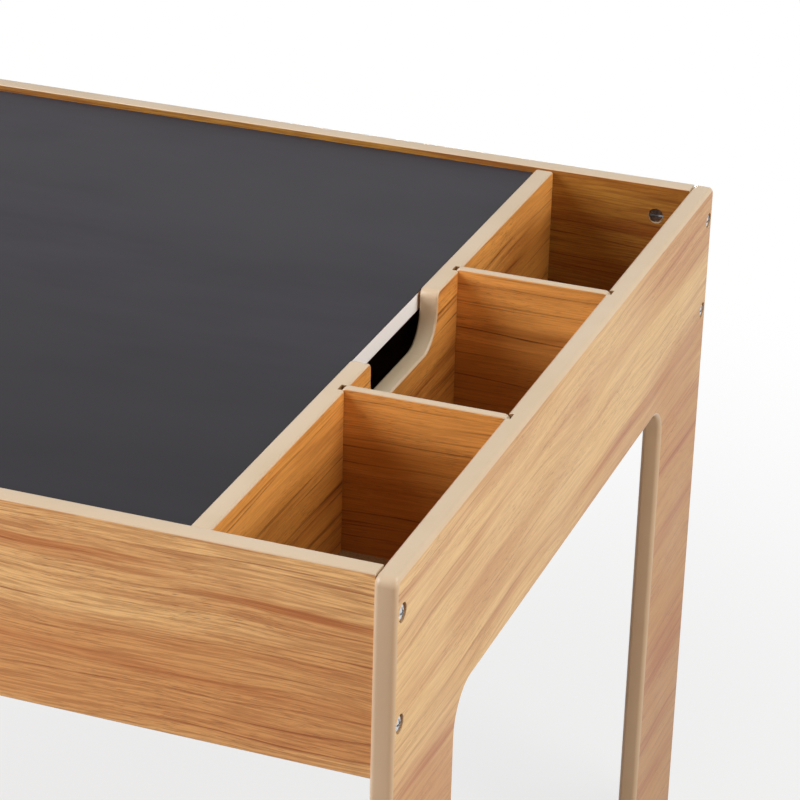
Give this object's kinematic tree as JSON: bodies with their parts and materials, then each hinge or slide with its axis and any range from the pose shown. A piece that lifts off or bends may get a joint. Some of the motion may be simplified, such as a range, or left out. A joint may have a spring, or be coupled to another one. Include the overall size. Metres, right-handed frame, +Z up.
{
  "type": "kids table with storage",
  "caption": "Low table with arched end panels, a lift-out chalkboard top over a storage well, and a trough with lift-out dividers at each end.",
  "frame": {"origin": "centre of the table's footprint, on the floor", "axes": "+X along the length, towards the end panel nearest the camera; +Y towards the back rail; +Z up"},
  "size_m": [0.802, 0.6, 0.485],
  "materials": {
    "wood_foil": "satin wood-look foil, edges in plain beige",
    "inner_wood_foil": "satin wood-look foil, edges in plain beige",
    "hardboard": "smooth matt hardboard",
    "white_board": "white melamine on fibreboard",
    "chalkboard": "matt black writing surface",
    "pine": "planed and unfinished",
    "beech": "turned and unfinished",
    "zinc_steel": "bright zinc plating"
  },
  "bodies": {
    "frame": {"end_panel_left": "wood_foil", "end_panel_right": "wood_foil", "front_rail": "wood_foil", "back_rail": "wood_foil", "bottom_panel": "hardboard", "partition_left": "inner_wood_foil", "partition_right": "inner_wood_foil", "bearing_strip_front": "pine", "bearing_strip_back": "pine", "corner_bolts_left": "zinc_steel", "corner_bolts_right": "zinc_steel", "barrel_nuts_left": "zinc_steel", "barrel_nuts_right": "zinc_steel", "partition_dowels": "beech", "strip_screws": "zinc_steel", "bottom_screws": "zinc_steel"},
    "lift_out_top": {"tabletop_board": "white_board", "chalkboard_sheet": "chalkboard"},
    "left_front_divider": {"divider_left_front": "inner_wood_foil"},
    "left_rear_divider": {"divider_left_rear": "inner_wood_foil"},
    "right_front_divider": {"divider_right_front": "inner_wood_foil"},
    "right_rear_divider": {"divider_right_rear": "inner_wood_foil"}
  },
  "joints": [
    {"name": "top_lift", "type": "slide", "parent": "frame", "child": "lift_out_top", "axis": [0, 0, 1], "range_m": [0, 0.15]},
    {"name": "left_front_divider_lift", "type": "slide", "parent": "frame", "child": "left_front_divider", "axis": [0, 0, 1], "range_m": [0, 0.11]},
    {"name": "left_rear_divider_lift", "type": "slide", "parent": "frame", "child": "left_rear_divider", "axis": [0, 0, 1], "range_m": [0, 0.11]},
    {"name": "right_front_divider_lift", "type": "slide", "parent": "frame", "child": "right_front_divider", "axis": [0, 0, 1], "range_m": [0, 0.11]},
    {"name": "right_rear_divider_lift", "type": "slide", "parent": "frame", "child": "right_rear_divider", "axis": [0, 0, 1], "range_m": [0, 0.11]}
  ]
}
